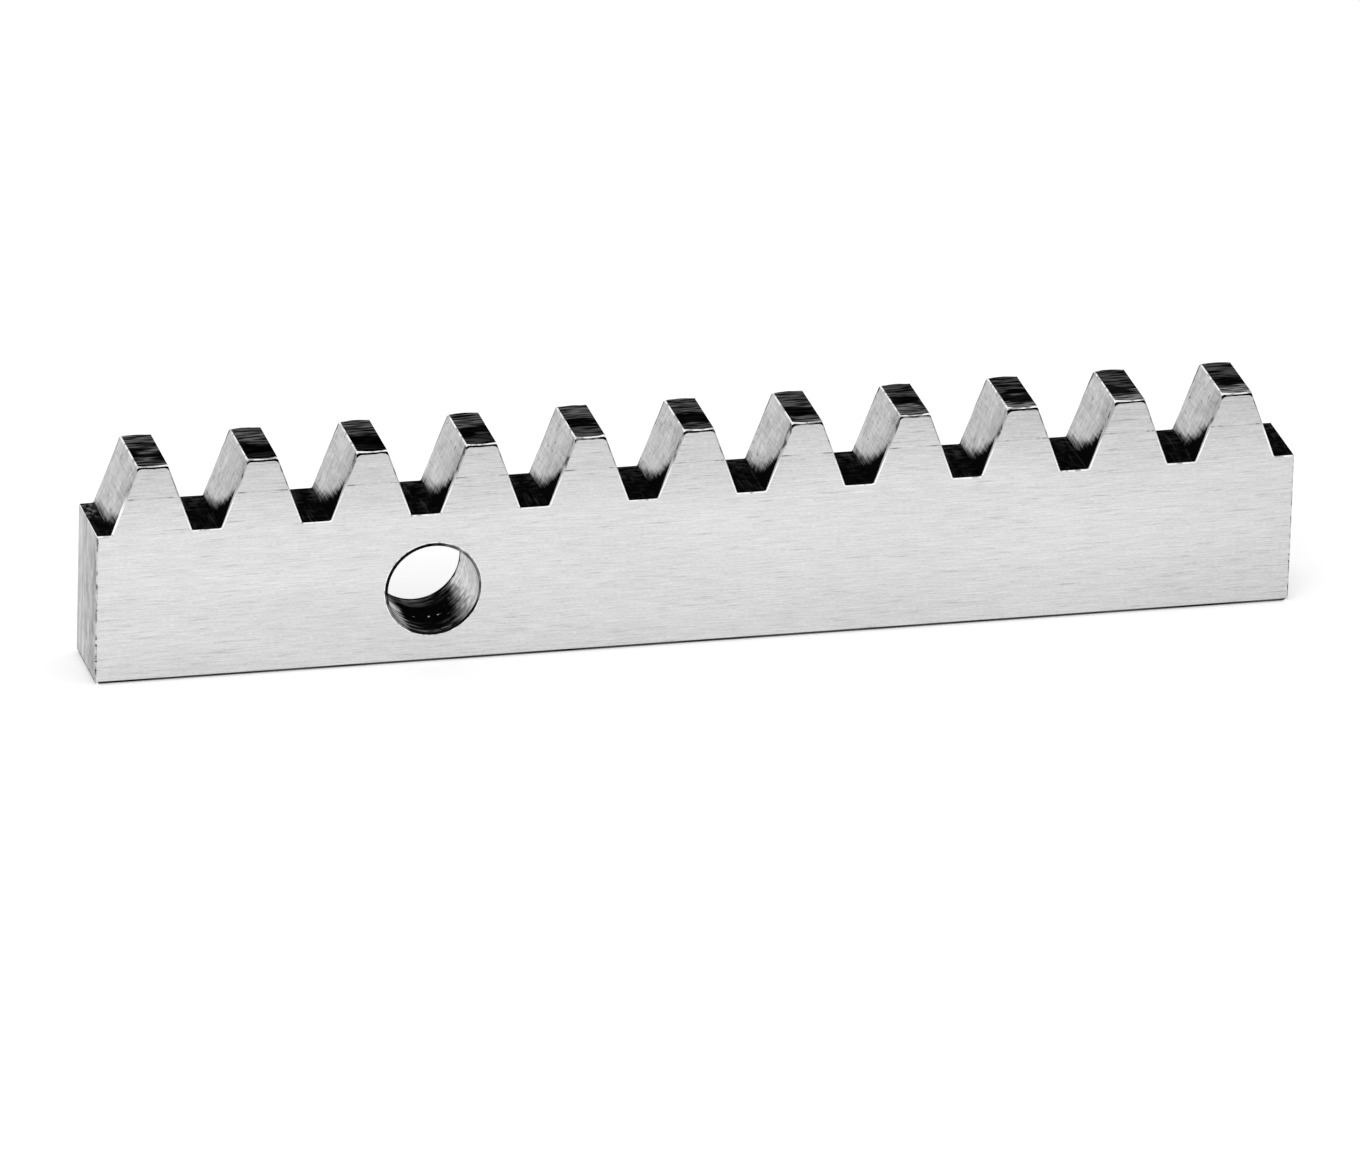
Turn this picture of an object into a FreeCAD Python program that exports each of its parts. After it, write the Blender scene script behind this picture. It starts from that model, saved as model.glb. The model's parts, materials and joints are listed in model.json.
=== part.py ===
import FreeCAD, Part
import Sketcher
import os

# A gear rack: one straight steel bar with a row of teeth along its top and one plain hole
# drilled through it from front to back. It is sawn from longer stock: its left end is a cut
# through the middle of a gap between two teeth, so that two lengths meet in pitch there.
#
# Frame, in millimetres: +X runs along the bar, the front face looks along -Y and +Z is up.
# The origin is the middle of the base, which the bar stands on.

# The driving dimensions, each under the name that the sheet gives it.
DRIVING_SIZES = {
    "bar_length": 139.0,
    "bar_height": 26.0,
    "bar_thickness": 10.0,
    # The pitch from tooth to tooth is pi times the module.
    "tooth_module": 4.0,
    # Degrees that each flank leans from the upright.
    "pressure_angle": 20.0,
    # Heights above and below the line on which tooth and gap are equally wide.
    "tooth_addendum": 3.8,
    "tooth_dedendum": 4.2,
    "tip_corner_radius": 0.3,
    "root_corner_radius": 0.2,
    # The least flat land that is left between the last tooth and the right end.
    "least_end_land": 1.0,
    "hole_diameter": 10.5,
    "hole_from_left_end": 38.8,
    # The web is the plain bar under the teeth.
    "hole_below_web_middle": 0.2,
    "hole_bevel": 0.35,
    "edge_bevel": 0.25,
    "base_corner_radius": 0.5,
}

# Sizes that follow from the sheet's, as expressions over it.
PITCH = "(pi * sizes.tooth_module)"
LEAN = "tan(sizes.pressure_angle * 1 deg)"
TOOTH_DEPTH = "(sizes.tooth_addendum + sizes.tooth_dedendum)"
WEB_HEIGHT = f"(sizes.bar_height - {TOOTH_DEPTH})"
TOOTH_FOOT_WIDTH = f"({PITCH} / 2 + 2 * sizes.tooth_dedendum * {LEAN})"
# The first tooth stands half a pitch from the left end, and the row is as long as fits.
ROOM_FOR_ROW = f"(sizes.bar_length - ({PITCH} + {TOOTH_FOOT_WIDTH}) / 2 - sizes.least_end_land)"
TOOTH_COUNT = f"(floor({ROOM_FOR_ROW} / {PITCH}) + 1)"
HOLE_ABOVE_BASE = f"({WEB_HEIGHT} / 2 - sizes.hole_below_web_middle)"

# Places nearer to each other than this are the same place.
SAME_PLACE = 0.001

# The sketcher's numbers for a line's two ends, a circle's centre and the sketch's origin.
START = 1
END = 2
CENTRE = 3
ORIGIN = (-1, 1)


def make_sheet(document):
    """The driving dimensions as a sheet of plain numbers with aliases."""
    sheet = document.addObject("Spreadsheet::Sheet", "sizes")
    for row, (name, size) in enumerate(DRIVING_SIZES.items(), start=1):
        sheet.set(f"A{row}", name)
        sheet.set(f"B{row}", str(size))
        sheet.setAlias(f"B{row}", name)
    document.recompute()
    return sheet


def origin_feature(body, role):
    """The body's own origin plane or axis of that role."""
    return next(feature for feature in body.Origin.OriginFeatures if feature.Role == role)


def origin_sketch(body, name, plane):
    """A sketch on one of the body's upright origin planes: its y is +Z."""
    sketch = body.newObject("Sketcher::SketchObject", name)
    sketch.AttachmentSupport = [(origin_feature(body, plane), "")]
    sketch.MapMode = "FlatFace"
    return sketch


def add_ring(sketch, corners):
    """A line from each corner to the next, closed and joined end to start."""
    points = [FreeCAD.Vector(x, z, 0) for x, z in corners]
    following = points[1:] + points[:1]
    for point, next_point in zip(points, following):
        sketch.addGeometry(Part.LineSegment(point, next_point), False)
    for side in range(len(points)):
        next_side = (side + 1) % len(points)
        sketch.addConstraint(Sketcher.Constraint("Coincident", side, END, next_side, START))


def add_size(sketch, name, expression, kind, *geometry):
    """A named dimension of the sketch, tied to an expression over the sheet."""
    size = sketch.evalExpression(expression)
    index = sketch.addConstraint(Sketcher.Constraint(kind, *geometry, size))
    sketch.renameConstraint(index, name)
    sketch.setExpression(f"Constraints.{name}", expression)


def make_web(body, sheet):
    """The plain bar up to the teeth's feet: its section, drawn both ways along X."""
    half = sheet.bar_thickness / 2
    sketch = origin_sketch(body, "web_section", "YZ_Plane")
    height = sketch.evalExpression(WEB_HEIGHT)
    add_ring(sketch, [(-half, 0), (half, 0), (half, height), (-half, height)])
    base, back, top, front = range(4)
    for upright in (back, front):
        sketch.addConstraint(Sketcher.Constraint("Vertical", upright))
    for level in (base, top):
        sketch.addConstraint(Sketcher.Constraint("Horizontal", level))
    # The origin is the middle of the base.
    sketch.addConstraint(Sketcher.Constraint("Symmetric", base, START, base, END, *ORIGIN))
    add_size(sketch, "thickness", "sizes.bar_thickness", "DistanceX", base, START, base, END)
    add_size(sketch, "height", WEB_HEIGHT, "DistanceY", back, START, back, END)

    web = body.newObject("PartDesign::Pad", "web")
    web.Profile = sketch
    web.SideType = "Symmetric"
    web.setExpression("Length", "sizes.bar_length")
    body.Document.recompute()

    def long_base_edge(edge):
        return lies_at(edge, 2, 0) and not lies_on_end(edge, sheet)

    return round_edges(body, web, "base_corners", long_base_edge, "sizes.base_corner_radius")


def make_first_tooth(body):
    """The tooth nearest the left end: a trapezoid as thick as the bar."""
    sketch = origin_sketch(body, "tooth_outline", "XZ_Plane")
    middle = sketch.evalExpression(f"({PITCH} - sizes.bar_length) / 2")
    half_foot = sketch.evalExpression(f"{TOOTH_FOOT_WIDTH} / 2")
    foot_height = sketch.evalExpression(WEB_HEIGHT)
    depth = sketch.evalExpression(TOOTH_DEPTH)
    half_tip = half_foot - depth * sketch.evalExpression(LEAN)
    add_ring(sketch, [
        (middle - half_foot, foot_height),
        (middle + half_foot, foot_height),
        (middle + half_tip, foot_height + depth),
        (middle - half_tip, foot_height + depth),
    ])
    foot, right_flank, tip, left_flank = range(4)
    sketch.addConstraint(Sketcher.Constraint("Horizontal", foot))
    sketch.addConstraint(Sketcher.Constraint("Horizontal", tip))
    sketch.addConstraint(Sketcher.Constraint("Equal", right_flank, left_flank))
    add_size(sketch, "foot_width", TOOTH_FOOT_WIDTH, "DistanceX", foot, START, foot, END)
    add_size(sketch, "foot_height", WEB_HEIGHT, "DistanceY", *ORIGIN, foot, START)
    add_size(sketch, "left_of_origin", f"(sizes.bar_length - {PITCH} + {TOOTH_FOOT_WIDTH}) / 2",
             "DistanceX", foot, START, *ORIGIN)
    add_size(sketch, "depth", TOOTH_DEPTH, "DistanceY", right_flank, START, right_flank, END)
    add_size(sketch, "lean", f"{TOOTH_DEPTH} * {LEAN}",
             "DistanceX", right_flank, END, right_flank, START)

    tooth = body.newObject("PartDesign::Pad", "tooth")
    tooth.Profile = sketch
    tooth.SideType = "Symmetric"
    tooth.setExpression("Length", "sizes.bar_thickness")
    return tooth


def repeat_tooth(body, tooth):
    """The row of teeth, one pitch apart along the bar."""
    row = body.newObject("PartDesign::LinearPattern", "tooth_row")
    row.Originals = [tooth]
    row.Direction = (origin_feature(body, "X_Axis"), [""])
    row.Mode = "Spacing"
    row.setExpression("Offset", PITCH)
    row.setExpression("Occurrences", TOOTH_COUNT)
    body.Tip = row
    return row


def edge_names(shape, wanted):
    """The names of the shape's edges for which wanted(edge) is true."""
    return [f"Edge{i}" for i, edge in enumerate(shape.Edges, start=1) if wanted(edge)]


def lies_at(edge, axis, place):
    """Whether the whole edge is at that place on the axis, 0 to 2 for X to Z."""
    box = edge.BoundBox
    low = (box.XMin, box.YMin, box.ZMin)[axis]
    high = (box.XMax, box.YMax, box.ZMax)[axis]
    return abs(low - place) < SAME_PLACE and abs(high - place) < SAME_PLACE


def lies_on_end(edge, sheet):
    """Whether the edge is on the bar's left or right end."""
    half = sheet.bar_length / 2
    return lies_at(edge, 0, -half) or lies_at(edge, 0, half)


def lies_on_side(edge, sheet):
    """Whether the edge is on the bar's front or back face."""
    half = sheet.bar_thickness / 2
    return lies_at(edge, 1, -half) or lies_at(edge, 1, half)


def round_edges(body, base, name, wanted, radius):
    """Rounds the chosen edges of the base feature."""
    fillet = body.newObject("PartDesign::Fillet", name)
    fillet.Base = (base, edge_names(base.Shape, wanted))
    fillet.setExpression("Radius", radius)
    body.Tip = fillet
    return fillet


def bevel_edges(body, base, name, wanted, width):
    """Cuts an even bevel along the chosen edges of the base feature."""
    chamfer = body.newObject("PartDesign::Chamfer", name)
    chamfer.Base = (base, edge_names(base.Shape, wanted))
    chamfer.setExpression("Size", width)
    body.Tip = chamfer
    return chamfer


def drill_hole(body, sheet):
    """The plain hole through the web, drilled from the front face."""
    sketch = origin_sketch(body, "hole_centre", "XZ_Plane")
    sketch.setExpression("AttachmentOffset.Base.z", "sizes.bar_thickness / 2")
    x = sheet.hole_from_left_end - sheet.bar_length / 2
    z = sketch.evalExpression(HOLE_ABOVE_BASE)
    up = FreeCAD.Vector(0, 0, 1)
    sketch.addGeometry(Part.Circle(FreeCAD.Vector(x, z, 0), up, sheet.hole_diameter / 2), False)
    add_size(sketch, "left_of_origin", "sizes.bar_length / 2 - sizes.hole_from_left_end",
             "DistanceX", 0, CENTRE, *ORIGIN)
    add_size(sketch, "above_base", HOLE_ABOVE_BASE, "DistanceY", *ORIGIN, 0, CENTRE)
    add_size(sketch, "diameter", "sizes.hole_diameter", "Diameter", 0)
    body.Document.recompute()

    hole = body.newObject("PartDesign::Hole", "hole")
    hole.Profile = sketch
    hole.DepthType = "ThroughAll"
    hole.setExpression("Diameter", "sizes.hole_diameter")
    body.Tip = hole
    return hole


def make_rack(document, sheet):
    """The whole rack as one body."""
    body = document.addObject("PartDesign::Body", "gear_rack")
    body.Label = "gear_rack"
    make_web(body, sheet)
    document.recompute()
    tooth = make_first_tooth(body)
    document.recompute()
    row = repeat_tooth(body, tooth)
    document.recompute()
    web_height = row.evalExpression(WEB_HEIGHT)

    def root_corner(edge):
        return lies_at(edge, 2, web_height) and not lies_on_side(edge, sheet) and not lies_on_end(edge, sheet)

    def tip_corner(edge):
        return lies_at(edge, 2, sheet.bar_height) and not lies_on_side(edge, sheet)

    def sharp_outline(edge):
        # Each side runs into the base's round corner without an edge.
        smooth = lies_at(edge, 2, sheet.base_corner_radius)
        return lies_on_end(edge, sheet) or (lies_on_side(edge, sheet) and not smooth)

    def hole_rim(edge):
        return edge.Closed and lies_on_side(edge, sheet)

    roots = round_edges(body, row, "root_corners", root_corner, "sizes.root_corner_radius")
    document.recompute()
    tips = round_edges(body, roots, "tip_corners", tip_corner, "sizes.tip_corner_radius")
    document.recompute()
    bevel_edges(body, tips, "outline_bevel", sharp_outline, "sizes.edge_bevel")
    document.recompute()
    hole = drill_hole(body, sheet)
    document.recompute()
    bevel_edges(body, hole, "hole_bevel", hole_rim, "sizes.hole_bevel")
    document.recompute()
    return body


def check(document):
    """Stops when a feature failed or a body's shape isn't a valid solid."""
    for item in document.Objects:
        if "Invalid" in item.State or "Error" in item.State:
            raise RuntimeError(f"{item.Name} failed: {item.State}")
    for body in document.findObjects("PartDesign::Body"):
        if body.Shape.isNull() or not body.Shape.isValid() or len(body.Shape.Solids) != 1:
            raise RuntimeError(f"{body.Label} isn't one valid solid")


document = FreeCAD.newDocument("gear_rack")
sheet = make_sheet(document)
rack = make_rack(document, sheet)
check(document)
os.makedirs("parts", exist_ok=True)
rack.Shape.exportStep(f"parts/{rack.Label}.step")
print(f"{rack.Label}: {rack.Shape.Volume:.1f} mm3, {len(rack.Shape.Faces)} faces, {rack.Shape.BoundBox}")
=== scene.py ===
import json
import math

import bmesh
import bpy
from mathutils import Matrix, Vector, noise
from mathutils.geometry import delaunay_2d_cdt


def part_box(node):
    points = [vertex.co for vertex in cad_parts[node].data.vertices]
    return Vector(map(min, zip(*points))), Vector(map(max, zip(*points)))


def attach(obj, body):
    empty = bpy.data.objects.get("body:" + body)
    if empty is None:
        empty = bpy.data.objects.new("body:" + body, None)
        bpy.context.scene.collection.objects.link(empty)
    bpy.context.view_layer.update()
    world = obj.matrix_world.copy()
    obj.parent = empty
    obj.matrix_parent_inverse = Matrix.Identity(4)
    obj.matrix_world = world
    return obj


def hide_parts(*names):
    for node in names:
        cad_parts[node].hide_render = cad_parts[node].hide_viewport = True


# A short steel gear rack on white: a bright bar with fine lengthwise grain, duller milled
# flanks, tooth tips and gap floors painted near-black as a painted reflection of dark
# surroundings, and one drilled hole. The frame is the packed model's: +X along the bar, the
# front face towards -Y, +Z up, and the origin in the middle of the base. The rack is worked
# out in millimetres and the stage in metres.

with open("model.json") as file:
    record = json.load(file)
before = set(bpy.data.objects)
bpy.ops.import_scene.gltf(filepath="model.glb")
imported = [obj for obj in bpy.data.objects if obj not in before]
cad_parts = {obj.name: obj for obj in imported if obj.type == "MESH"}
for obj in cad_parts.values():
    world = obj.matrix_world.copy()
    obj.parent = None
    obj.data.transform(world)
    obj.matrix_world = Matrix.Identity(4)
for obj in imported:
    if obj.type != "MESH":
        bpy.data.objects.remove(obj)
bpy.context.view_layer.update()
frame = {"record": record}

MM = 0.001
NODE = "gear_rack"

# The bar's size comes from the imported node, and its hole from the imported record.
LOW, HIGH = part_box(NODE)
LENGTH_MM = (HIGH.x - LOW.x) / MM
THICKNESS_MM = (HIGH.y - LOW.y) / MM
HEIGHT_MM = (HIGH.z - LOW.z) / MM
LEFT_MM = -LENGTH_MM / 2
RIGHT_MM = LENGTH_MM / 2
FRONT_MM = -THICKNESS_MM / 2
BACK_MM = THICKNESS_MM / 2
hole = next(mount for mount in frame["record"]["mounts"] if mount["name"] == "mounting_hole")
HOLE_X_MM = hole["pos_m"][0] / MM
HOLE_Z_MM = hole["pos_m"][2] / MM
HOLE_RADIUS_MM = hole["dims"]["r_mm"]

# The teeth: module 4, flanks 20 degrees from the upright. The bar starts in the middle of a
# gap and has as many teeth as there is room for.
MODULE_MM = 4.0
PITCH_MM = math.pi * MODULE_MM
LEAN = math.tan(math.radians(20.0))
ADDENDUM_MM = 3.8
DEDENDUM_MM = 4.2
PITCH_HEIGHT_MM = HEIGHT_MM - ADDENDUM_MM
ROOT_MM = HEIGHT_MM - ADDENDUM_MM - DEDENDUM_MM
HALF_TIP_MM = PITCH_MM / 4 - ADDENDUM_MM * LEAN
HALF_FOOT_MM = PITCH_MM / 4 + DEDENDUM_MM * LEAN
TEETH = int(LENGTH_MM / PITCH_MM)

# How round the corners of the outline are, at its surface and where the flat sides begin.
CORNER_MM = {"base": 0.5, "end": 0.06, "root": 0.2, "tip": 0.16}
SIDE_CORNER_MM = {"base": 0.15, "end": 0.06, "root": 0.35, "tip": 0.8}

# How wide the sides' edge is along each run of the outline, how unevenly it is worn, and
# where the sawn ends are nicked.
EDGE_MM = {"base": 0.38, "end": 0.15, "floor": 0.12, "flank": 0.19, "tip": 0.32}
EDGE_WEAR = 0.25
WEAR_PER_MM = 0.5
FINE_WEAR_PER_MM = 1.6
FINE_WEAR_SHARE = 0.6
NICK_HEIGHTS_MM = (17.4, 9.1, 5.7, 4.9, 2.9, 1.9)
NICK_SIZE_MM = 0.075

# The bevel round the hole: its width, what it has more towards the upper left, what it has
# more at the top and bottom, and its depth.
RIM_MM = 0.4
RIM_EXTRA_MM = 0.12
RIM_WIDE_ANGLE = math.radians(135.0)
RIM_UPRIGHT_MM = 0.04
RIM_DEPTH_MM = 0.14

# The finish of the sides' edge along each run. The tips' edge has one for each of its steps,
# counted from the flat side: a dark line of painted shade, and above it a bright one that is
# partly a painted highlight.
EDGE_FINISHES = {
    "base": "under",
    "end": "worn",
    "flank": "flank_edge",
    "floor": "edge",
    "tip": "tip_edge",
}
TIP_EDGE_FINISHES = ("side", "shade", "shade", "edge", "edge")

# The surface of a corner between two runs. A root corner belongs to the floor, a tip's right
# corner to the tip and a lower corner to the lower edges, and the others are worn edges.
CORNER_SURFACES = {
    ("floor", "flank"): "floor",
    ("flank", "floor"): "floor",
    ("flank", "tip"): "tip",
    ("end", "base"): "under",
    ("base", "end"): "under",
}

# How finely the surfaces are divided. The steps of the hole's bevel are shares of its width
# and of its depth, from the flat side to the bore.
CURVE_STEPS = 4
EDGE_STEPS = len(TIP_EDGE_FINISHES)
THICKNESS_STEPS = 10
STEP_MM = {"base": 0.7, "end": 0.14, "floor": 0.22, "flank": 0.22, "tip": 0.22}
HOLE_STEPS = 144
RIM_STEPS = ((1.0, 0.0), (0.8, 0.05), (0.3, 0.3), (0.08, 0.6), (0.0, 1.0))
SHARP_ANGLE = math.radians(35.0)
ONLY_INSIDE = 1
FILL_TOLERANCE_MM = 1e-6

# The two sides, by the direction that they face along Y.
FRONT = -1
BACK = 1

# Nearly all values of a noise lie between these.
GRAIN_LOW = 0.3
GRAIN_HIGH = 0.7


# Outline of the bar seen from the front


def arc(before, corner, after, radius):
    """Points of the arc that rounds a corner of that radius, from one side to the other."""
    to_before = (before - corner).normalized()
    to_after = (after - corner).normalized()
    half_angle = to_before.angle(to_after) / 2
    back_off = radius / math.tan(half_angle)
    centre = corner + (to_before + to_after).normalized() * (radius / math.sin(half_angle))
    start = corner + to_before * back_off - centre
    sweep = start.angle_signed(corner + to_after * back_off - centre)
    turn = Matrix.Rotation(-sweep / CURVE_STEPS, 2)
    points = [start]
    for _ in range(CURVE_STEPS):
        points.append(turn @ points[-1])
    return [centre + point for point in points]


def outline_corners():
    """Sharp corners, anticlockwise from the base's left end: place, kind of corner, and the
    surface of the run that follows."""
    corners = [
        ((LEFT_MM, 0.0), "base", "base"),
        ((RIGHT_MM, 0.0), "base", "end"),
        ((RIGHT_MM, ROOT_MM), "end", "floor"),
    ]
    for tooth in reversed(range(TEETH)):
        middle = LEFT_MM + (tooth + 0.5) * PITCH_MM
        corners += [
            ((middle + HALF_FOOT_MM, ROOT_MM), "root", "flank"),
            ((middle + HALF_TIP_MM, HEIGHT_MM), "tip", "tip"),
            ((middle - HALF_TIP_MM, HEIGHT_MM), "tip", "flank"),
            ((middle - HALF_FOOT_MM, ROOT_MM), "root", "floor"),
        ]
    corners.append(((LEFT_MM, ROOT_MM), "end", "end"))
    return [(Vector(place), kind, run) for place, kind, run in corners]


def moved_in(before, corner, after, width_before, width_after):
    """Where the two runs at a corner meet once each is moved into the bar by its width."""
    run_before = (corner - before).normalized()
    run_after = (after - corner).normalized()
    area = run_before.cross(run_after)
    return corner + (run_after * width_before - run_before * width_after) / area


def trace(places, radii, counts):
    """Points of a closed outline with rounded corners and that many steps along each run."""
    total = len(places)
    arcs = [arc(places[i - 1], places[i], places[(i + 1) % total], radii[i]) for i in range(total)]
    points = []
    for i, steps in enumerate(counts):
        start = arcs[i][-1]
        end = arcs[(i + 1) % total][0]
        points += arcs[i][:-1]
        points += [start.lerp(end, step / steps) for step in range(steps)]
    return points


def outline():
    """The bar's outline, the outline of its flat sides point for point inside it, and for
    each point the surface that starts there and the finish of the sides' edge."""
    places, kinds, runs = zip(*outline_corners())
    inner_places = []
    counts = []
    surfaces = []
    edges = []
    for i, (place, kind, run) in enumerate(zip(places, kinds, runs)):
        before = places[i - 1]
        after = places[(i + 1) % len(places)]
        run_before = runs[i - 1]
        inner_places.append(moved_in(before, place, after, EDGE_MM[run_before], EDGE_MM[run]))
        steps = max(1, round((after - place).length / STEP_MM[run]))
        counts.append(steps)
        surfaces += [CORNER_SURFACES.get((run_before, run), "edge")] * CURVE_STEPS
        surfaces += [run] * steps
        edges += ["tip_edge" if kind == "tip" else "edge"] * CURVE_STEPS
        edges += [EDGE_FINISHES[run]] * steps
    outer = trace(places, [CORNER_MM[kind] for kind in kinds], counts)
    inner = trace(inner_places, [SIDE_CORNER_MM[kind] for kind in kinds], counts)
    return outer, inner, surfaces, edges


def worn(outer, inner, surfaces, seed):
    """The flat side's outline, moved in and out a little along the edge, with a few nicks on
    the sawn ends. The base's edge stays even."""
    places = []
    for point, inside, surface in zip(outer, inner, surfaces):
        width = (inside - point).length
        place = Vector((point.x, point.y, seed))
        fine = noise.noise(place * FINE_WEAR_PER_MM)
        wear = noise.noise(place * WEAR_PER_MM) + FINE_WEAR_SHARE * fine
        new_width = width if surface == "base" else width * (1 + EDGE_WEAR * wear)
        if surface == "end":
            new_width += sum(NICK_SIZE_MM * math.exp(-((point.y - height) / NICK_SIZE_MM) ** 2)
                             for height in NICK_HEIGHTS_MM)
        places.append(point + (inside - point) * (new_width / width))
    return places


# Mesh of the bar


class Skin:
    """A mesh under construction, whose faces carry the name of their surface."""

    def __init__(self, surfaces):
        self.mesh = bmesh.new()
        self.slots = {surface: slot for slot, surface in enumerate(surfaces)}

    def ring(self, places):
        return [self.mesh.verts.new(Vector(place) * MM) for place in places]

    def face(self, corners, surface):
        face = self.mesh.faces.new(corners)
        face.material_index = self.slots[surface]
        face.smooth = True

    def strip(self, near, far, surfaces):
        """Quads between two rings. They face out when the rings run anticlockwise seen from
        the near one's side."""
        count = len(near)
        for i in range(count):
            after = (i + 1) % count
            self.face((near[i], far[i], far[after], near[after]), surfaces[i])

    def cap(self, outer, inner, surface, side):
        """Fills the flat side between its outline and the hole's rim."""
        corners = outer + inner
        flat = [Vector((corner.co.x, corner.co.z)) / MM for corner in corners]
        edges = []
        for first, count in ((0, len(outer)), (len(outer), len(inner))):
            edges += [(first + i, first + (i + 1) % count) for i in range(count)]
        triangles = delaunay_2d_cdt(flat, edges, [], ONLY_INSIDE, FILL_TOLERANCE_MM)[2]
        for triangle in triangles:
            # A triangle with only rim corners lies inside the hole. The others run
            # anticlockwise seen from the front, so the back's are turned over.
            if min(triangle) < len(outer):
                self.face([corners[i] for i in triangle][::-side], surface)


def round_steps():
    """Steps round a quarter circle from a flat side out: the share of the edge's width that
    is left, and the share of it that the step lies deep."""
    for step in range(EDGE_STEPS + 1):
        angle = math.radians(90 * step / EDGE_STEPS)
        yield 1 - math.sin(angle), 1 - math.cos(angle)


def edge_rings(skin, outer, inner, side):
    """The rings of one side's rounded edge, from its flat side out."""
    rings = []
    for inset, depth in round_steps():
        places = []
        for point, inside in zip(outer, inner):
            width = (inside - point).length
            places.append((point.x + (inside.x - point.x) * inset,
                           side * (THICKNESS_MM / 2 - width * depth),
                           point.y + (inside.y - point.y) * inset))
        rings.append(skin.ring(places))
    return rings


def middle_rings(skin, outer, front_inner, back_inner):
    """The rings that divide the thickness between the two sides' edges."""
    rings = []
    for step in range(1, THICKNESS_STEPS):
        share = step / THICKNESS_STEPS
        places = []
        for point, front, back in zip(outer, front_inner, back_inner):
            start = (front - point).length - THICKNESS_MM / 2
            end = THICKNESS_MM / 2 - (back - point).length
            places.append((point.x, start * (1 - share) + end * share, point.y))
        rings.append(skin.ring(places))
    return rings


def edge_surface(edge, step, point):
    """The finish of one step of a side's edge. The nicks on the ends get painted shade."""
    if edge == "tip_edge":
        return TIP_EDGE_FINISHES[step]
    if edge == "worn" and min(abs(point.y - height) for height in NICK_HEIGHTS_MM) < NICK_SIZE_MM:
        return "shade"
    return edge


def skin_outline(skin):
    """Skins the outline's surfaces and both sides' edges, and gives the rings where the flat
    sides begin."""
    outer, inner, runs, edges = outline()
    front_inner = worn(outer, inner, runs, seed=3.0)
    back_inner = worn(outer, inner, runs, seed=11.0)
    front = edge_rings(skin, outer, front_inner, FRONT)
    back = edge_rings(skin, outer, back_inner, BACK)
    middle = middle_rings(skin, outer, front_inner, back_inner)
    edge_surfaces = [[edge_surface(edge, step, point) for edge, point in zip(edges, outer)]
                     for step in range(EDGE_STEPS)]
    for near, far, surfaces in zip(front, front[1:], edge_surfaces):
        skin.strip(near, far, surfaces)
    for near, far in zip([front[-1]] + middle, middle + [back[-1]]):
        skin.strip(near, far, runs)
    for near, far, surfaces in zip(back, back[1:], edge_surfaces):
        skin.strip(far, near, surfaces)
    return front[0], back[0]


def bore_ring(skin, inset, depth, side):
    """A ring round the hole, at those shares of its bevel's width and depth."""
    places = []
    for step in range(HOLE_STEPS):
        angle = 2 * math.pi * step / HOLE_STEPS
        wider = RIM_EXTRA_MM * math.cos(angle - RIM_WIDE_ANGLE)
        taller = RIM_UPRIGHT_MM * math.sin(angle) ** 2
        radius = HOLE_RADIUS_MM + (RIM_MM + wider + taller) * inset
        places.append((HOLE_X_MM + radius * math.cos(angle),
                       side * (THICKNESS_MM / 2 - RIM_DEPTH_MM * depth),
                       HOLE_Z_MM + radius * math.sin(angle)))
    return skin.ring(places)


def skin_bore(skin):
    """Skins the bore and its two bevels, and gives the rings where the flat sides end. The
    bore's skin faces its axis, so its rings are taken the other way round."""
    front = [bore_ring(skin, inset, depth, FRONT) for inset, depth in RIM_STEPS]
    back = [bore_ring(skin, inset, depth, BACK) for inset, depth in RIM_STEPS]
    for step, (near, far) in enumerate(zip(front, front[1:])):
        skin.strip(far, near, ["rim" if step else "edge"] * HOLE_STEPS)
    skin.strip(back[-1], front[-1], ["bore"] * HOLE_STEPS)
    for step, (near, far) in enumerate(zip(back, back[1:])):
        skin.strip(near, far, ["ring" if step else "edge"] * HOLE_STEPS)
    return front[0], back[0]


def build_rack():
    """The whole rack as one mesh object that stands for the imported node."""
    skin = Skin(FINISHES)
    front_edge, back_edge = skin_outline(skin)
    front_rim, back_rim = skin_bore(skin)
    skin.cap(front_edge, front_rim, "side", FRONT)
    skin.cap(back_edge, back_rim, "side", BACK)
    skin.mesh.normal_update()
    for edge in skin.mesh.edges:
        if edge.calc_face_angle(0) > SHARP_ANGLE:
            edge.smooth = False

    data = bpy.data.meshes.new("rack_finished")
    skin.mesh.to_mesh(data)
    skin.mesh.free()
    piece = bpy.data.objects.new("rack_finished", data)
    bpy.context.scene.collection.objects.link(piece)
    weighted = piece.modifiers.new("flat_sides", "WEIGHTED_NORMAL")
    weighted.keep_sharp = True
    for finish in FINISHES.values():
        data.materials.append(finish())
    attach(piece, "root")
    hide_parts(NODE)


# Finishes


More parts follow.
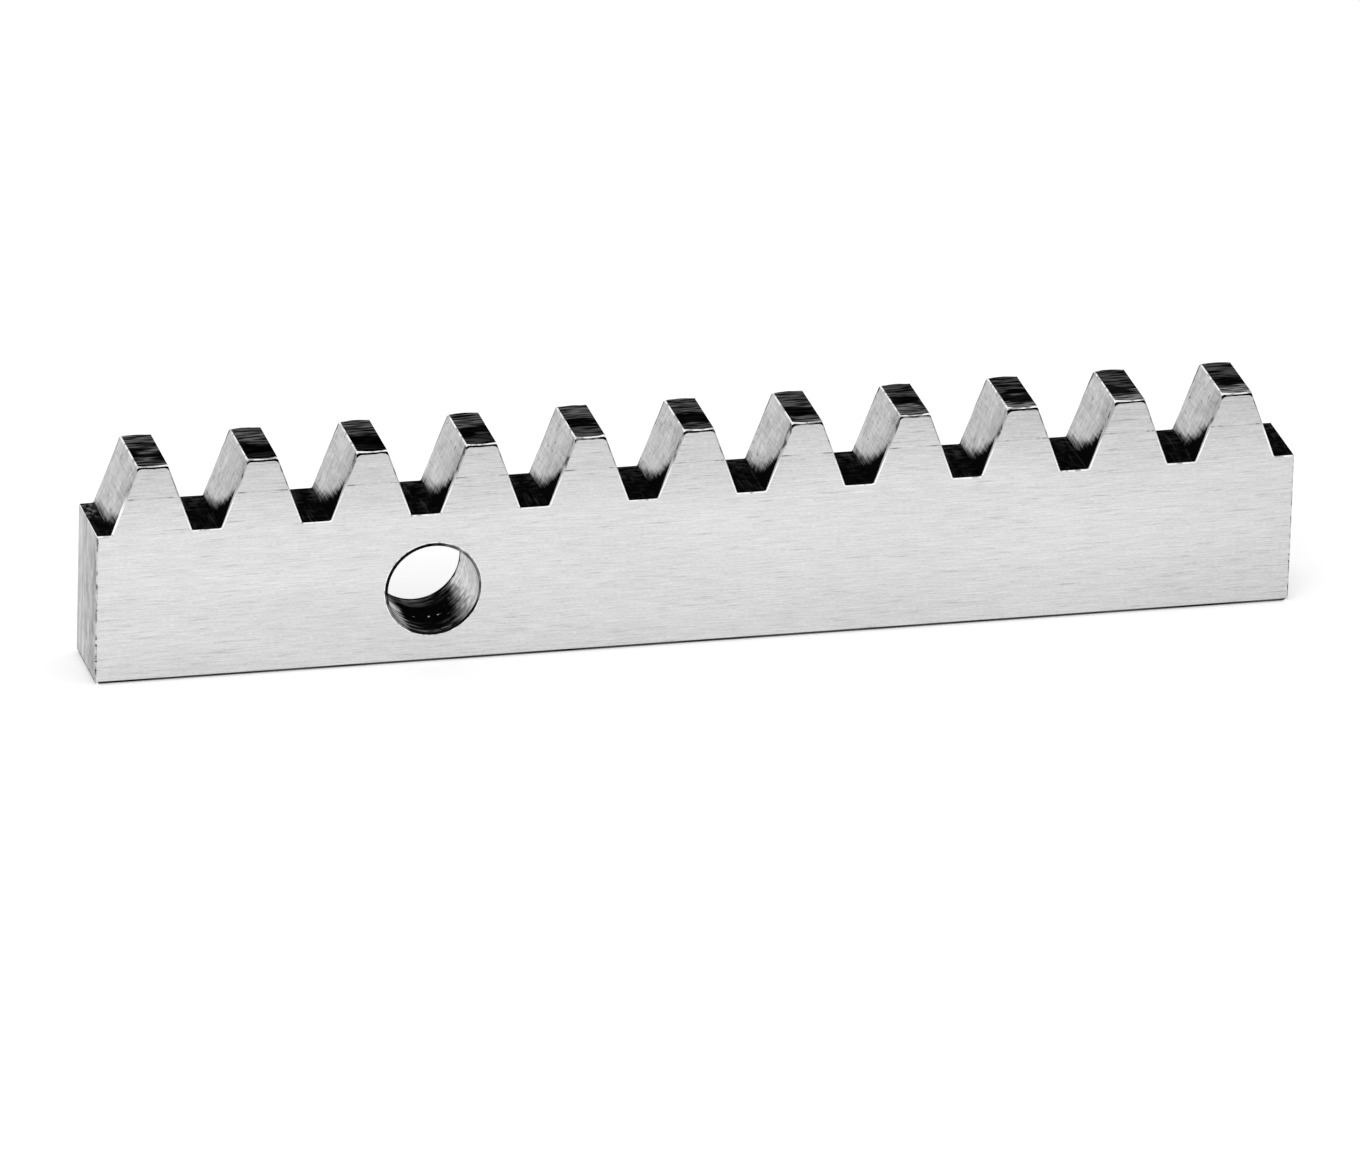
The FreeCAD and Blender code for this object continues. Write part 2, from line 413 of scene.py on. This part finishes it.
class Finish:
    """A steel finish under construction, in shader nodes. Its greys are plain numbers, and
    its places x, y and z are in millimetres."""

    def __init__(self, name, roughness, metallic=1.0, specular=0.5):
        self.material = bpy.data.materials.new(name)
        self.material.use_nodes = True
        self.tree = self.material.node_tree
        self.shader = self.tree.nodes["Principled BSDF"]
        self.shader.inputs["Metallic"].default_value = metallic
        self.shader.inputs["Roughness"].default_value = roughness
        self.shader.inputs["Specular IOR Level"].default_value = specular
        metres = self.add("ShaderNodeTexCoord").outputs["Object"]
        scaled = self.add("ShaderNodeVectorMath", {0: metres, "Scale": 1 / MM}, operation="SCALE")
        self.place = scaled.outputs[0]
        self.x, self.y, self.z = self.add("ShaderNodeSeparateXYZ", {0: self.place}).outputs

    def add(self, kind, inputs=None, **settings):
        """A node with its settings, and its inputs set or joined."""
        node = self.tree.nodes.new(kind)
        for name, value in settings.items():
            setattr(node, name, value)
        for name, value in (inputs or {}).items():
            if isinstance(value, bpy.types.NodeSocket):
                self.tree.links.new(value, node.inputs[name])
            else:
                node.inputs[name].default_value = value
        return node

    def combine(self, operation, first, second=0.0):
        return self.add("ShaderNodeMath", {0: first, 1: second}, operation=operation).outputs[0]

    def plus(self, first, second):
        return self.combine("ADD", first, second)

    def less(self, first, second):
        return self.combine("SUBTRACT", first, second)

    def times(self, first, second):
        return self.combine("MULTIPLY", first, second)

    def larger(self, first, second):
        return self.combine("MAXIMUM", first, second)

    def off(self, value, middle):
        """How far the value lies from that middle, to either side."""
        return self.combine("ABSOLUTE", self.less(value, middle))

    def span(self, value, low, high, to_low=0.0, to_high=1.0, smooth=False):
        """Takes low..high to to_low..to_high and holds it there outside."""
        node = self.add("ShaderNodeMapRange", {
            "Value": value, "From Min": low, "From Max": high, "To Min": to_low, "To Max": to_high},
            interpolation_type="SMOOTHSTEP" if smooth else "LINEAR")
        return node.outputs["Result"]

    def tone(self, pattern, dark, light, low=GRAIN_LOW, high=GRAIN_HIGH):
        """A grey from dark to light, as the pattern runs from low to high."""
        return self.span(pattern, low, high, dark, light)

    def vary(self, grey, pattern, reach):
        """The grey, lowered and lifted by up to reach by a pattern of noise."""
        return self.plus(grey, self.span(pattern, GRAIN_LOW, GRAIN_HIGH, -reach, reach))

    def darken(self, grey, value, start, full, by):
        """The grey, lowered by up to that much as the value runs from start to full."""
        return self.less(grey, self.span(value, start, full, 0.0, by))

    def blend(self, share, first, second):
        return self.add("ShaderNodeMix", {"Factor": share, "A": first, "B": second}).outputs[0]

    def forward(self):
        """How far forward a place lies: 0 at the back face and 1 at the front one."""
        return self.span(self.y, FRONT_MM, BACK_MM, 1.0, 0.0)

    def towards(self, degrees):
        """How far a place lies from the hole's axis towards that angle, in radii."""
        angle = math.radians(degrees)
        across = self.times(self.less(self.x, HOLE_X_MM), math.cos(angle) / HOLE_RADIUS_MM)
        up = self.times(self.less(self.z, HOLE_Z_MM), math.sin(angle) / HOLE_RADIUS_MM)
        return self.plus(across, up)

    def grain(self, lengths_mm, detail=2.0, place=None, seed=0.0):
        """Noise whose spots are about that long along each axis, from 0 to 1."""
        stretched = self.add("ShaderNodeMapping", {
            "Vector": place or self.place,
            "Scale": [1 / length for length in lengths_mm],
            "Location": (seed, seed, seed)})
        return self.add("ShaderNodeTexNoise", {
            "Vector": stretched.outputs[0], "Scale": 1.0, "Detail": detail}).outputs["Fac"]

    def wander(self, lengths_mm, reach_mm):
        """The place moved up and down a little, so that straight grain runs in slow waves."""
        drift = self.span(self.grain(lengths_mm, detail=1.0), 0.0, 1.0, -reach_mm, reach_mm)
        moved = self.add("ShaderNodeCombineXYZ", {"Z": drift}).outputs[0]
        return self.add("ShaderNodeVectorMath", {0: self.place, 1: moved}, operation="ADD").outputs[0]

    def finished(self, grey, height=None, depth_mm=0.02, strength=0.4, bare=None):
        """The material, with that grey, the height of its bump, and the share of bare metal
        where that changes over the surface."""
        self.tree.links.new(grey, self.shader.inputs["Base Color"])
        if height is not None:
            bump = self.add("ShaderNodeBump", {
                "Strength": strength, "Distance": depth_mm * MM, "Height": height})
            self.tree.links.new(bump.outputs[0], self.shader.inputs["Normal"])
        if bare is not None:
            self.tree.links.new(bare, self.shader.inputs["Metallic"])
        return self.material


def scribed(steel):
    """Where a side keeps the remains of its scribed pitch line: broken, plainest beside each
    flank and faint towards the middle of the tooth."""
    line = steel.span(steel.off(steel.z, PITCH_HEIGHT_MM), 0.03, 0.11, 1.0, 0.0)
    from_gap = steel.combine("PINGPONG", steel.less(steel.x, LEFT_MM), PITCH_MM / 2)
    flank = PITCH_MM / 4
    strength = steel.span(from_gap, flank + 0.9, flank + 1.8, 0.75, 0.15)
    unbroken = steel.span(steel.grain((0.8, 0.8, 3.0), detail=1.0, seed=6.0), 0.36, 0.56)
    return steel.times(steel.times(line, strength), unbroken)


def side_finish():
    """Light drawn steel: fine wavy grain along the bar with a few darker strokes, darker up
    the teeth, with painted shade near the base and towards the right end, and a scribed pitch
    line."""
    steel = Finish("drawn_side", roughness=0.34)
    waved = steel.wander((7.0, 7.0, 4.0), reach_mm=0.12)
    short = steel.grain((0.5, 0.5, 0.09), place=waved, seed=1.0)
    fine = steel.grain((2.8, 2.8, 0.1), place=waved)
    long = steel.grain((40.0, 40.0, 0.2), place=waved, seed=4.0)
    strokes = steel.grain((3.5, 3.5, 0.14), place=waved, seed=9.0)
    broad = steel.grain((30.0, 30.0, 6.0), detail=1.0, seed=2.0)
    grey = steel.tone(fine, 0.622, 0.758)
    for pattern, reach in ((short, 0.06), (long, 0.02), (broad, 0.02)):
        grey = steel.vary(grey, pattern, reach)
    grey = steel.darken(grey, strokes, 0.62, 0.76, by=0.2)
    grey = steel.darken(grey, steel.z, ROOT_MM - 1.0, HEIGHT_MM, by=0.14)
    # Painted shade: darker towards the base.
    grey = steel.darken(grey, steel.z, 10.0, 0.0, by=0.05)
    # Painted shade: darker towards the right end.
    grey = steel.darken(grey, steel.x, 20.0, RIGHT_MM, by=0.05)
    dark_line = 0.05
    grey = steel.blend(scribed(steel), grey, dark_line)
    return steel.finished(grey, height=fine, depth_mm=0.015, strength=0.3)


def base_finish():
    """The base, drawn like the sides."""
    steel = Finish("drawn_base", roughness=0.4)
    fine = steel.grain((3.2, 0.2, 3.2), detail=3.0)
    return steel.finished(steel.tone(fine, 0.5, 0.66), height=fine, depth_mm=0.015, strength=0.3)


def under_finish():
    """The rounded lower edges, dull, and dark with painted contact shade."""
    steel = Finish("lower_edge_painted_shade", roughness=0.5, metallic=0.2, specular=0.0)
    return steel.finished(steel.tone(steel.grain((9.0, 1.0, 1.0)), 0.01, 0.1))


def end_finish():
    """A sawn end: light grey with upright saw streaks, and with dark scratches towards its
    front edge, more of them lower down."""
    steel = Finish("sawn_end", roughness=0.4)
    streaks = steel.grain((1.0, 1.0, 9.0), detail=3.0)
    marks = steel.grain((1.0, 1.2, 1.8), detail=4.0, seed=5.0)
    scratches = steel.grain((1.0, 0.7, 1.3), detail=3.0, seed=2.0)
    forward = steel.forward()
    grey = steel.vary(steel.tone(streaks, 0.34, 0.58), marks, 0.09)
    grey = steel.darken(grey, forward, 0.6, 0.85, by=0.09)
    scratched = steel.times(steel.span(forward, 0.4, 0.7, 0.2, 1.0),
                            steel.span(steel.z, 3.0, ROOT_MM, 1.0, 0.2))
    dark = steel.times(steel.span(scratches, 0.5, 0.62, 0.0, 0.26), scratched)
    return steel.finished(steel.less(grey, dark), height=marks)


def flank_finish():
    """Milled flanks: light with fine grain up the tooth, marks across it and small dark pits,
    near-black towards the root as a painted reflection of the dark gap floor, darker towards the
    front as painted shade, and with dark chips along the front edge."""
    steel = Finish("milled_flank", roughness=0.32, specular=0.0)
    grain = steel.grain((0.9, 0.3, 1.5), detail=3.0)
    marks = steel.grain((0.3, 4.0, 0.3), seed=6.0)
    cloud = steel.grain((3.0, 2.0, 3.0), seed=3.0)
    pits = steel.grain((0.4, 0.4, 0.5), detail=1.0, seed=8.0)
    chips = steel.grain((0.6, 0.6, 0.6), seed=5.0)
    forward = steel.forward()
    grey = steel.vary(steel.tone(grain, 0.36, 0.57), cloud, 0.06)
    grey = steel.vary(grey, marks, 0.06)
    grey = steel.darken(grey, pits, 0.66, 0.74, by=0.28)
    # Painted shade: darker towards the front edge.
    grey = steel.darken(grey, forward, 0.6, 1.0, by=0.1)
    # The painted reflection of the dark gap floor near the root: towards the front it reaches
    # higher up the tooth, but less so on the flank nearest to the left end.
    up = steel.span(steel.z, ROOT_MM, HEIGHT_MM)
    reach = steel.span(steel.x, LEFT_MM + 5.0, LEFT_MM + 6.0, 0.25, 0.6)
    shade_top = steel.times(steel.combine("POWER", forward, 3.0), reach)
    above = steel.vary(steel.vary(steel.less(up, shade_top), grain, 0.03), marks, 0.04)
    unshaded = steel.span(above, -0.06, 0.16, smooth=True)
    chipped = steel.times(steel.span(forward, 0.95, 0.97), steel.span(chips, 0.5, 0.58))
    bare = steel.times(unshaded, steel.less(1.0, steel.times(chipped, 0.8)))
    # The near-black colour of the painted reflection near the root.
    shade_grey = 0.004
    return steel.finished(steel.blend(bare, shade_grey, grey), height=grain, strength=0.3, bare=bare)


def tip_finish():
    """Tooth tips painted near-black as a painted reflection of dark surroundings, streaked along
    the bar, and blackest in a band across the middle. Towards the right end this painted
    reflection gets lighter in their front parts and darker in their back parts."""
    steel = Finish("tip_painted_reflection", roughness=0.45, metallic=0.0, specular=0.0)
    streaks = steel.grain((2.4, 0.28, 3.0), detail=3.0)
    patches = steel.grain((4.0, 1.6, 3.0), seed=7.0)
    forward = steel.vary(steel.forward(), patches, 0.15)
    beside_band = steel.span(steel.off(forward, 0.6), 0.06, 0.18, 0.05, 1.0, smooth=True)
    back_light = steel.span(steel.x, LEFT_MM, RIGHT_MM, 1.0, 0.5)
    front_light = steel.span(steel.x, LEFT_MM / 2, RIGHT_MM, 0.1, 2.2)
    light = steel.blend(steel.span(forward, 0.55, 0.65), back_light, front_light)
    # The first tooth's tip has a lighter painted reflection in front too.
    light = steel.larger(light, steel.span(steel.x, LEFT_MM + 10.0, LEFT_MM + 12.0, 0.8, 0.0))
    grey = steel.tone(streaks, 0.002, 0.2, low=0.42, high=0.7)
    return steel.finished(steel.times(grey, steel.times(beside_band, light)), height=streaks)


def floor_finish():
    """Gap floors painted black as a painted reflection of dark surroundings, with faint streaks
    along and across the bar, lighter at the back, and spotted with grey at the bar's left end."""
    steel = Finish("gap_floor_painted_reflection", roughness=0.5, metallic=0.0, specular=0.0)
    streaks = steel.grain((1.4, 0.6, 3.0), detail=3.0)
    across = steel.grain((0.4, 5.0, 3.0), seed=4.0)
    spots = steel.grain((0.5, 0.8, 3.0), detail=1.0, seed=3.0)
    backward = steel.span(steel.y, 0.0, BACK_MM, 0.2, 1.0)
    grey = steel.times(steel.span(streaks, 0.46, 0.74, 0.0, 0.06), backward)
    grey = steel.plus(grey, steel.span(across, 0.55, 0.75, 0.0, 0.025))
    at_left_end = steel.times(steel.span(steel.x, LEFT_MM + 1.3, LEFT_MM + 1.6, 1.0, 0.0),
                              steel.span(steel.y, 0.0, 2.0))
    grey = steel.larger(grey, steel.times(steel.span(spots, 0.46, 0.56, 0.0, 0.12), at_left_end))
    darkest = 0.002
    return steel.finished(steel.plus(grey, darkest), height=streaks)


def edge_finish():
    """Worn edges: bare and bright, with dull breaks; the brightness is partly a painted highlight."""
    steel = Finish("edge_wear_and_highlight", roughness=0.3)
    return steel.finished(steel.tone(steel.grain((0.8, 0.8, 0.8)), 0.4, 0.95, low=0.38, high=0.52))


def flank_edge_finish():
    """The side edges of the flanks: bright with a painted highlight at the root, dark and broken
    above.
    """
    steel = Finish("flank_edge", roughness=0.35, specular=0.0)
    wear = steel.grain((0.7, 0.7, 1.5), detail=3.0, seed=2.0)
    bare = steel.span(steel.z, ROOT_MM + 3.0, ROOT_MM + 5.0, 1.0, 0.0)
    broken = steel.tone(wear, 0.1, 0.48, low=0.38, high=0.52)
    bright = 0.95
    return steel.finished(steel.blend(bare, broken, bright), bare=bare)


def worn_finish():
    """The sawn ends' edges, duller than the rest."""
    steel = Finish("worn_edge", roughness=0.4, metallic=0.3, specular=0.0)
    return steel.finished(steel.tone(steel.grain((0.7, 0.7, 1.2)), 0.12, 0.7, low=0.36, high=0.56))


def shade_finish():
    """The dark line of painted shade under the bright one along each tip, and painted shade in the
    nicks on the ends.
    """
    steel = Finish("dark_line", roughness=0.5, metallic=0.0, specular=0.0)
    return steel.finished(steel.tone(steel.grain((2.0, 1.4, 1.4)), 0.003, 0.35, low=0.55))


def ring_finish():
    """The hole's bevel at the back, dark all round with painted shade."""
    steel = Finish("back_rim_painted_shade", roughness=0.5, metallic=0.0, specular=0.0)
    return steel.finished(steel.tone(steel.grain((1.6, 1.6, 1.6)), 0.01, 0.2, low=0.4))


def rim_finish():
    """The hole's bevel at the front: black with painted shade, with some grey of painted light to the
    lower left and the right.
    """
    steel = Finish("hole_rim_painted_shade", roughness=0.4, specular=0.0)
    wear = steel.grain((1.6, 1.6, 1.6))
    left = steel.span(steel.vary(steel.towards(215.0), wear, 0.06), 0.92, 1.05, smooth=True)
    right = steel.span(steel.vary(steel.towards(30.0), wear, 0.1), 0.5, 1.0, smooth=True)
    bare = steel.larger(left, right)
    black = 0.006
    grey = steel.tone(wear, 0.08, 0.28, low=0.35, high=0.65)
    return steel.finished(steel.blend(bare, black, grey), bare=bare)


def bore_finish():
    """The drilled bore: bright with painted light and scratched to the right and a little at the
    lower left, black with painted shade along its bottom with grey smears and bright specks,
    and dark with painted shade at its back rim."""
    steel = Finish("bore_painted_light_and_shade", roughness=0.32, specular=0.0)
    rings = steel.grain((9.0, 0.3, 9.0), detail=3.0)
    hatch = steel.grain((0.7, 0.7, 0.7), detail=3.0, seed=3.0)
    smears = steel.grain((2.4, 0.5, 2.4), detail=3.0, seed=2.0)
    specks = steel.grain((0.8, 0.45, 0.8), detail=1.0, seed=1.0)
    scratches = steel.grain((3.0, 0.35, 3.0), seed=7.0)
    forward = steel.forward()

    # Towards the front the painted light of the bright side fades into the painted shade over a
    # longer stretch.
    right = steel.vary(steel.vary(steel.towards(60.0), hatch, 0.03), rings, 0.08)
    black_up_to = steel.span(forward, 0.0, 1.0, -0.25, -0.6)
    bright_from = steel.span(forward, 0.0, 1.0, 0.0, 0.35)
    right = steel.span(right, black_up_to, bright_from, smooth=True)
    off_back_rim = steel.vary(steel.span(forward, 0.05, 0.08, 0.1, 1.0), hatch, 0.3)
    left = steel.span(steel.vary(steel.towards(212.0), rings, 0.05), 0.86, 0.98, smooth=True)
    streaked = steel.times(steel.span(rings, 0.4, 0.56, 0.3, 1.0), steel.span(forward, 0.1, 0.5))
    bare = steel.larger(steel.times(right, off_back_rim), steel.times(left, streaked))

    bright = steel.vary(steel.vary(steel.tone(rings, 0.5, 0.74), smears, 0.06), hatch, 0.03)
    bright = steel.darken(bright, scratches, 0.64, 0.7, by=0.35)
    off_middle = steel.off(forward, 0.5)
    smear = steel.times(steel.span(smears, 0.48, 0.72, 0.0, 0.3),
                        steel.span(off_middle, 0.2, 0.45))
    speck = steel.times(steel.span(specks, 0.7, 0.76, 0.0, 0.8),
                        steel.span(off_middle, 0.1, 0.2, 1.0, 0.0))
    darkest = 0.003
    black = steel.plus(steel.plus(smear, speck), darkest)
    return steel.finished(steel.blend(bare, black, bright), height=rings, bare=bare)


FINISHES = {
    "side": side_finish,
    "base": base_finish,
    "under": under_finish,
    "end": end_finish,
    "flank": flank_finish,
    "tip": tip_finish,
    "floor": floor_finish,
    "edge": edge_finish,
    "flank_edge": flank_edge_finish,
    "worn": worn_finish,
    "shade": shade_finish,
    "ring": ring_finish,
    "rim": rim_finish,
    "bore": bore_finish,
}


# Stage, light and camera

# The floor: how far it reaches each way, its grey, and the light that it adds where the
# camera sees it.
FLOOR_REACH = 4.0
FLOOR_GREY = 0.86
FLOOR_GLOW = 0.3

# How bright the room is as light, where 1 is white.
ROOM_LIGHT = 0.8

# The camera, as fitted to the photograph: its angles in degrees, its distance from a point
# on the front face near the bar's middle, and how far that point lies off its axis.
CAMERA_AZIMUTH = 14.468
CAMERA_ELEVATION = 22.886
CAMERA_ROLL = 1.750
CAMERA_DISTANCE_MM = 1832.2
CAMERA_PIVOT_MM = (-0.217, -5.0, 18.0)
CAMERA_OFFSET_MM = (2.162, 9.236)
CAMERA_FOCUS_PX = 16262.3
FRAME_WIDTH_PX = 1360
SENSOR_MM = 36.0


def seen_share(tree):
    """1 where a ray comes from the camera, a reflection or glass, and 0 where it is light."""
    rays = tree.nodes.new("ShaderNodeLightPath")
    seen = rays.outputs["Is Camera Ray"]
    for kind in ("Is Glossy Ray", "Is Transmission Ray"):
        either = tree.nodes.new("ShaderNodeMath")
        either.operation = "MAXIMUM"
        tree.links.new(seen, either.inputs[0])
        tree.links.new(rays.outputs[kind], either.inputs[1])
        seen = either.outputs[0]
    return seen


def floor_material():
    """Pale matt paint that reads white to the camera."""
    material = bpy.data.materials.new("pale_floor")
    material.use_nodes = True
    tree = material.node_tree
    paint = tree.nodes["Principled BSDF"]
    paint.inputs["Base Color"].default_value = (FLOOR_GREY, FLOOR_GREY, FLOOR_GREY, 1)
    paint.inputs["Roughness"].default_value = 0.9
    paint.inputs["Specular IOR Level"].default_value = 0.0
    share = tree.nodes.new("ShaderNodeMath")
    share.operation = "MULTIPLY"
    share.inputs[1].default_value = FLOOR_GLOW
    tree.links.new(seen_share(tree), share.inputs[0])
    glow = tree.nodes.new("ShaderNodeEmission")
    tree.links.new(share.outputs[0], glow.inputs["Strength"])
    both = tree.nodes.new("ShaderNodeAddShader")
    tree.links.new(paint.outputs[0], both.inputs[0])
    tree.links.new(glow.outputs[0], both.inputs[1])
    tree.links.new(both.outputs[0], tree.nodes["Material Output"].inputs["Surface"])
    return material


def build_floor():
    """A wide level floor, which keeps the bar's soft shadow."""
    reach = FLOOR_REACH
    corners = [(-reach, -reach, 0), (reach, -reach, 0), (reach, reach, 0), (-reach, reach, 0)]
    data = bpy.data.meshes.new("floor")
    data.from_pydata(corners, [], [(0, 1, 2, 3)])
    data.materials.append(floor_material())
    floor = bpy.data.objects.new("floor", data)
    bpy.context.scene.collection.objects.link(floor)


def build_world():
    """A white room to the camera and to reflections, and a softer one as light."""
    world = bpy.data.worlds.new("white_room")
    bpy.context.scene.world = world
    world.use_nodes = True
    tree = world.node_tree
    background = tree.nodes["Background"]
    background.inputs["Color"].default_value = (1, 1, 1, 1)
    strength = tree.nodes.new("ShaderNodeMapRange")
    strength.inputs["To Min"].default_value = ROOM_LIGHT
    strength.inputs["To Max"].default_value = 1.0
    tree.links.new(seen_share(tree), strength.inputs["Value"])
    tree.links.new(strength.outputs[0], background.inputs["Strength"])


def build_lamp(name, place, size, power):
    """A square soft lamp that looks at the middle of the bar. Its power is in watts."""
    data = bpy.data.lights.new(name, "AREA")
    data.shape = "SQUARE"
    data.size = size
    data.energy = power
    lamp = bpy.data.objects.new(name, data)
    bpy.context.scene.collection.objects.link(lamp)
    lamp.location = place
    target = Vector((0, 0, HIGH.z / 2))
    lamp.rotation_euler = (target - lamp.location).to_track_quat("-Z", "Y").to_euler()


def build_camera():
    """A long lens at the photograph's angle, with no shift."""
    azimuth = math.radians(CAMERA_AZIMUTH)
    elevation = math.radians(CAMERA_ELEVATION)
    to_camera = Vector((-math.sin(azimuth) * math.cos(elevation),
                        -math.cos(azimuth) * math.cos(elevation),
                        math.sin(elevation)))
    right = Vector((math.cos(azimuth), -math.sin(azimuth), 0))
    up = to_camera.cross(right)
    level = Matrix((right, up, to_camera)).transposed()
    turn = level @ Matrix.Rotation(math.radians(CAMERA_ROLL), 3, "Z")
    data = bpy.data.cameras.new("camera")
    data.sensor_width = SENSOR_MM
    data.lens = CAMERA_FOCUS_PX * SENSOR_MM / FRAME_WIDTH_PX
    data.clip_start = 0.05
    data.clip_end = 50.0
    camera = bpy.data.objects.new("camera", data)
    bpy.context.scene.collection.objects.link(camera)
    across, above = CAMERA_OFFSET_MM
    place = Vector(CAMERA_PIVOT_MM) + turn @ Vector((-across, -above, CAMERA_DISTANCE_MM))
    camera.matrix_world = Matrix.Translation(place * MM) @ turn.to_4x4()
    bpy.context.scene.camera = camera


bpy.context.scene.view_settings.view_transform = "Standard"
build_rack()
build_floor()
build_world()
build_lamp("key", place=(-0.5, -0.9, 0.9), size=0.9, power=3.5)
build_lamp("fill", place=(0.8, -0.7, 0.7), size=0.9, power=0.5)
build_camera()
